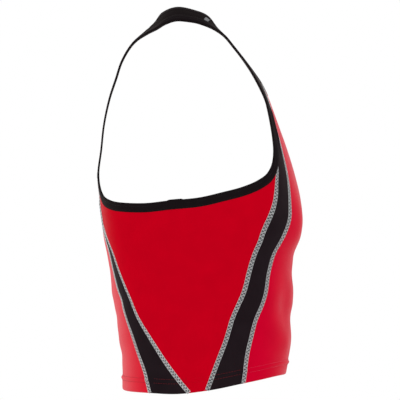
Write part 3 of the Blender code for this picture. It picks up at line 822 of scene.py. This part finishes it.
def sideGrid():
    # nearly a triangle, from the hem up to the armhole
    top = stretchOf(armBorder, armFront, armBack, panels["armholeCount"])
    left = seamLine(frontSideSeam, armHeight, 1)
    right = onward(seamLine(backSideSeam, panels["apex"], -1),
                   seamLine(rearSeam, top[-1, 2], -1, panels["apex"]))
    return patch(hemBetween(left, right), top, left, right, spans(sidePanel), sidePanel["settle"])


backInset = {"columns": 26, "rows": 120}


def backInsetGrid():
    # a triangle between two seams that close in on its top
    left = seamLine(backSideSeam, panels["apex"], 1)
    right = seamLine(rearSeam, panels["apex"], -1)
    top = straight(left[-1], right[-1])
    return patch(hemBetween(left, right), top, left, right, spans(backInset))


backCentre = {"columns": 44, "rows": 150}


def backCentreGrid():
    # half of it lies between the rear seam and the middle, under the level yoke seam
    seam = seamLine(rearSeam, yokeHeight, 1)
    middle = seamLine(middleBack, yokeHeight, low=hemEdge["height"][-1])
    top = onForm(hemLine(turnAt(seam[-1]), 180) * (1, 1, 0) + (0, 0, yokeHeight))
    half = patch(hemLine(turnAt(seam[0]), 180), top, seam, middle, spans(backCentre))
    return bothHalves(half[:, ::-1])


backYoke = {"columns": 24, "rows": 230,
            "torsoTo": 11 * mm, "shouldersFrom": 173.0,  # below the shoulder line, and by turn above it
            "centreWithin": 0.3 * mm}


def backYokeGrid():
    # half of it lies between the armhole and the middle, and then the neckline, up to the strap's seam
    left = onward(stretchOf(armBorder, armBack, armCount, panels["armholeCount"]),
                  stretchOf(armBorder, 0, armJoin))
    neckHalf = stretchOf(neckBorder, neckJoin, neckCount // 2)[::-1]
    low = seamLine(middleBack, shoulderHeight - backYoke["torsoTo"], low=yokeHeight + panels["gap"])
    turns = np.linspace(backYoke["shouldersFrom"], shoulderTurn(neckHalf[:1])[0], panels["backCount"])
    right = np.concatenate((low, aboutShoulder(turns, 0.0), neckHalf[1:]))
    grid = patch(straight(left[0], right[0]), straight(left[-1], right[-1]), left, right,
                 spans(backYoke, 1))
    centred = np.abs(grid[:, -1, 0]) < backYoke["centreWithin"]
    grid[centred, -1, 0] = 0
    return grid


addPanel("front_centre", frontCentreGrid(), frontRedPaintedLightKnit)
addPair("front_inset", frontInsetGrid(), blackKnit)
addPair("side", sideGrid(), redKnit)
addPair("back_inset", backInsetGrid(), blackKnit)
addPanel("back_centre", backCentreGrid(), backRedPaintedLightKnit)
addPanel("back_yoke", backYokeGrid(), yokePaintedShadeKnit, mirrored=True)
print("panels ready")


# A plain grey patch of heat-sealed film on the right strap.

film = {"turn": 74.6, "halfWidth": 79.8 * mm, "length": 5.2 * mm, "width": 11 * mm, "skew": -0.13,
        "rise": 0.12 * mm, "wall": 0.15 * mm, "count": 13}


def addFilm():
    # a skewed rectangle, its length along the strap as a turn over the shoulders' mean radius
    share = np.linspace(-0.5, 0.5, film["count"])
    u, v = (grid.ravel() for grid in np.meshgrid(share, share, indexing="ij"))
    along = u * film["length"] - v * film["skew"] * film["width"]
    turns = film["turn"] + np.degrees(along / shoulders["radius"].mean())
    spots = aboutShoulder(turns, -(film["halfWidth"] + v * film["width"]))
    part = clothPart(spots.reshape(film["count"], film["count"], 3))
    part["points"] = part["points"] + dressed(spots)[1] * film["rise"]
    makePiece("strap_patch", [part], (patchFilm,), film["wall"])


addFilm()
print("patch ready")


# Flatlock seams: a raised band of thread over each joint.

flatlock = {
    "halfWidth": 2.25 * mm,
    "across": (-1.0, -0.96, -0.8, -0.4, 0.0, 0.4, 0.8, 0.96, 1.0,
               0.9, 0.5, -0.5, -0.9),  # times the half width, over the face and back underneath
    "rise": (-0.15, 0.1, 0.2, 0.2, 0.15, 0.2, 0.2, 0.1, -0.15, -1.1, -1.25, -1.25, -1.1),
    "swellLow": -330 * mm, "swellHigh": -235 * mm, "swell": 0.4,  # it widens where the cloth pulls
    "thinLow": -225 * mm, "thinHigh": -150 * mm, "thin": 0.0,
    "pitch": 4.0 * mm, "skew": 0.68,  # one zigzag's length, and the share of it that goes out
    "thread": 0.42 * mm, "coverRise": 0.16 * mm,
    "coverDip": 0.12 * mm, "dipPower": 6,  # how far, and how late, the cover thread turns down
    "edgeThread": 0.3 * mm, "edgeAcross": 0.97, "edgeStep": 1.2 * mm,
    "step": 2.0 * mm, "pitchCount": 12, "sides": 5,
    "sink": 0.6 * mm, "sinkFrom": 0.3 * mm, "sinkSoft": 0.5 * mm,  # how it runs in under a binding
    "faceAbove": -0.5,  # mm down, where the face ends and the underside begins
    "hemClear": 0.6 * mm,
    "lift": 0.0, "threads": (greyGround, greyThread),
}
frontFlatlock = {**flatlock, "thin": 0.5}
frontSideFlatlock = {**flatlock, "thinLow": -205 * mm, "thinHigh": -165 * mm, "thin": 0.5}
backSideFlatlock = {**flatlock, "halfWidth": 2.2 * mm, "swell": 0.0,
                    "thinLow": -400 * mm, "thinHigh": -330 * mm, "thin": 0.2,
                    "lift": -0.08 * mm, "threads": (backPaintedLightGround, backPaintedLightThread), "pastApex": 4 * mm}
rearFlatlock = {**backSideFlatlock, "lift": 0.0,
                "swellLow": -262 * mm, "swellHigh": -245 * mm, "swell": 0.6}
yokeFlatlock = {**flatlock, "lift": 0.05 * mm, "count": 80}
strapFlatlock = {**flatlock, "threads": (blackKnit, blackThread),
                 "trim": 5}  # points left off at both ends, clear of the borders


def tuckedIn(points, look):
    # how far a point lies in under a binding, from 0 at its border to 1 just inside
    arm, neck = armRing[::2], neckRing[::3]  # fewer points are close enough together
    edges = np.concatenate((arm, flipped(arm), neck))
    near = np.sqrt(((points[:, None] - edges) ** 2).sum(axis=2).min(axis=1))
    return np.clip((binding["width"] - look["sinkFrom"] - near) / look["sinkSoft"], 0, 1)


def acrossSeam(line):
    # directions square to a line and level with the form there
    across = np.cross(np.gradient(line, axis=0), outward(line))
    return across / np.linalg.norm(across, axis=1, keepdims=True)


def seamHalfWidth(height, look):
    # the half width at a height: it swells between two heights and thins between two others
    swell, thin = (np.clip((height - look[name + "Low"]) / (look[name + "High"] - look[name + "Low"]), 0, 1)
                   for name in ("swell", "thin"))
    return look["halfWidth"] * (1 + look["swell"] * swell) * (1 - look["thin"] * thin)


def liftedOff(points, height, look, sinks=True):
    # points laid on the dressed form and lifted off it; the seam's face sinks where a binding
    # covers it, and its underside stays level
    spots, up = dressed(points)
    height = height + look["lift"]
    if sinks:
        height = height - look["sink"] * tuckedIn(points, look)
    return spots + up * np.reshape(height, (-1, 1)), up


def addFlatlock(name, line, look):
    # the ground band, a cover thread that crosses it to and fro and one thread along each edge
    line = evenLine(line, look["step"])
    sideways = acrossSeam(line)
    half = seamHalfWidth(line[:, 2], look)
    columns = []
    for across, rise in zip(look["across"], look["rise"]):
        points = line + sideways * (half * across)[:, None]
        columns.append(liftedOff(points, rise * mm, look, rise > look["faceAbove"])[0])
    parts = [closedPart(np.stack(columns, axis=1))]

    stitches = max(1, round(distances(line)[-1] / look["pitch"]))
    share, even = np.linspace(0, 1, stitches * look["pitchCount"] + 1), np.linspace(0, 1, len(line))
    centre, sideways = pointsAt(line, even, share), pointsAt(sideways, even, share)
    half = np.interp(share, even, half)[:, None]
    beat = (share * stitches) % 1
    swing = np.where(beat < look["skew"], beat / look["skew"], (1 - beat) / (1 - look["skew"])) * 2 - 1
    height = look["coverRise"] - look["coverDip"] * np.abs(swing) ** look["dipPower"]
    path, up = liftedOff(centre + sideways * swing[:, None] * half, height, look)
    threads = [(path, up, look["thread"])]
    for edge in (-look["edgeAcross"], look["edgeAcross"]):
        points = evenLine(centre + sideways * edge * half, look["edgeStep"])
        threads.append((*liftedOff(points, 0.0, look), look["edgeThread"]))
    for path, up, radius in threads:
        parts.append(threadPart(path[None], up[None], np.full(len(path), radius), look["sides"], 1))
    makePiece(name, parts, look["threads"])


def addSeamPair(name, seam, high, look):
    # the same seam on both sides of the body, from just above the folded edge
    line = seamLine(seam, high, low=seamFoot(seam) + look["hemClear"])
    addFlatlock("flatlock_" + name + "_left", line, look)
    addFlatlock("flatlock_" + name + "_right", flipped(line)[::-1], look)


addSeamPair("front", frontSeam, neckHeight, frontFlatlock)
addSeamPair("front_side", frontSideSeam, armHeight, frontSideFlatlock)
addSeamPair("back_side", backSideSeam, panels["apex"] + backSideFlatlock["pastApex"], backSideFlatlock)
addSeamPair("rear", rearSeam, yokeHeight, rearFlatlock)
yokeTurn = turnAt(pointOn(armBorder, armBack))
yokeLine = around(np.linspace(yokeTurn, 360 - yokeTurn, yokeFlatlock["count"]), yokeHeight)
addFlatlock("flatlock_yoke", yokeLine, yokeFlatlock)
strapLine = straight(pointOn(armBorder, armJoin), pointOn(neckBorder, neckJoin))
strapLine = strapLine[strapFlatlock["trim"]:-strapFlatlock["trim"]]
addFlatlock("flatlock_strap_left", strapLine, strapFlatlock)
addFlatlock("flatlock_strap_right", flipped(strapLine), strapFlatlock)
print("flatlock seams ready")


# Hem: two rows of stitches from a twin needle.

hem = {
    "above": (11.6 * mm, 16.5 * mm),  # from the folded edge
    "stitch": 2.4 * mm, "gap": 0.7 * mm, "thread": 0.18 * mm, "rise": 0.05 * mm,
    "clear": 4 * mm, "clearRadius": 120 * mm,  # each run stops short of the flatlock on its seams
    "count": 240,
}
hemThreads = (redThread, paintedHighlightThread, dullThread)


def hemStitches(start, stop, thread, above):
    # a run of stitches between two turns, a distance above the folded edge
    short = math.degrees(hem["clear"] / hem["clearRadius"])
    turns = np.linspace(start + short, stop - short, hem["count"])
    height = hemHeight((turns + 180) % 360 - 180) + above
    spots, up = dressed(around(turns, height))
    return stitchRow(spots, up, hem, hem["rise"], hemThreads.index(thread))


frontFoot, frontSideFoot, backSideFoot, rearFoot = (
    seamTurn(seam, seamFoot(seam)) for seam in (frontSeam, frontSideSeam, backSideSeam, rearSeam))
# the front's runs use the red thread with the painted highlight
runs = [(-frontFoot, frontFoot, paintedHighlightThread), (rearFoot, 360 - rearFoot, dullThread)]
for start, stop, thread in ((frontFoot, frontSideFoot, dullThread),
                            (frontSideFoot, backSideFoot, redThread),
                            (backSideFoot, rearFoot, dullThread)):
    runs += [(start, stop, thread), (-stop, -start, thread)]
stitches = [hemStitches(*run, above) for run in runs for above in hem["above"]]
makePiece("hem_stitching", stitches, hemThreads)
print("hem ready")


# Floor, light and camera.

studio = {
    "floor": -0.52, "floorHalf": 3.0,
    "world": 1.0, "lightWidth": 1.2,
    "frontPlace": (1.2, -1.5, -0.4), "frontWatts": 5.0,
    "backPlace": (1.4, 1.3, -0.1), "backWatts": 8.0,
    "lens": 1500.0, "frameWidth": 0.456, "seesTo": 100.0,
    "aim": (-0.02, -0.02225, -0.21184),
}
paperLook = {"colour": "#F4F4F2", "dark": "#F1F1EF", "roughness": 0.9, "specular": 0.2,
             "grain": 900.0}  # grains across the sheet


def paperMaterial(name, look):
    # Seamless background paper: matt and white, with a grain that is only just there.
    material, tree, shader, place = newMaterial(name, look)
    mottled(tree, shader, look, place.outputs["Generated"], look["grain"], contrast=0.5)
    return material


def addLight(name, place, watts):
    # a square softbox turned to face the camera's aim
    light = bpy.data.lights.new(name, "AREA")
    light.energy, light.size = watts, studio["lightWidth"]
    lamp = bpy.data.objects.new(name, light)
    scene.collection.objects.link(lamp)
    lamp.location = place
    away = np.array(place) - studio["aim"]
    lamp.rotation_euler = (math.acos(away[2] / np.linalg.norm(away)), 0, math.atan2(away[0], -away[1]))


half, level = studio["floorHalf"], studio["floor"]
floorMesh = bpy.data.meshes.new("floor")
floorMesh.from_pydata([(-half, -half, level), (half, -half, level),
                       (half, half, level), (-half, half, level)], [], [(0, 1, 2, 3)])
floorMesh.materials.append(paperMaterial("Matt white paper", paperLook))
floor = bpy.data.objects.new("floor", floorMesh)
scene.collection.objects.link(floor)

world = bpy.data.worlds.new("Soft white room")
scene.world = world
world.use_nodes = True
background = world.node_tree.nodes["Background"]
background.inputs["Color"].default_value = (1, 1, 1, 1)
background.inputs["Strength"].default_value = studio["world"]
addLight("Front softbox", studio["frontPlace"], studio["frontWatts"])
addLight("Back softbox", studio["backPlace"], studio["backWatts"])

camera = bpy.data.cameras.new("Side view")
camera.lens = studio["lens"]
camera.clip_end = studio["seesTo"]
viewer = bpy.data.objects.new("Side view", camera)
scene.collection.objects.link(viewer)
away = studio["frameWidth"] * camera.lens / camera.sensor_width
viewer.location = (studio["aim"][0] - away, studio["aim"][1], studio["aim"][2])
viewer.rotation_euler = (math.pi / 2, 0, -math.pi / 2)
scene.camera = viewer
scene.view_settings.view_transform = "Standard"

print("stage ready")
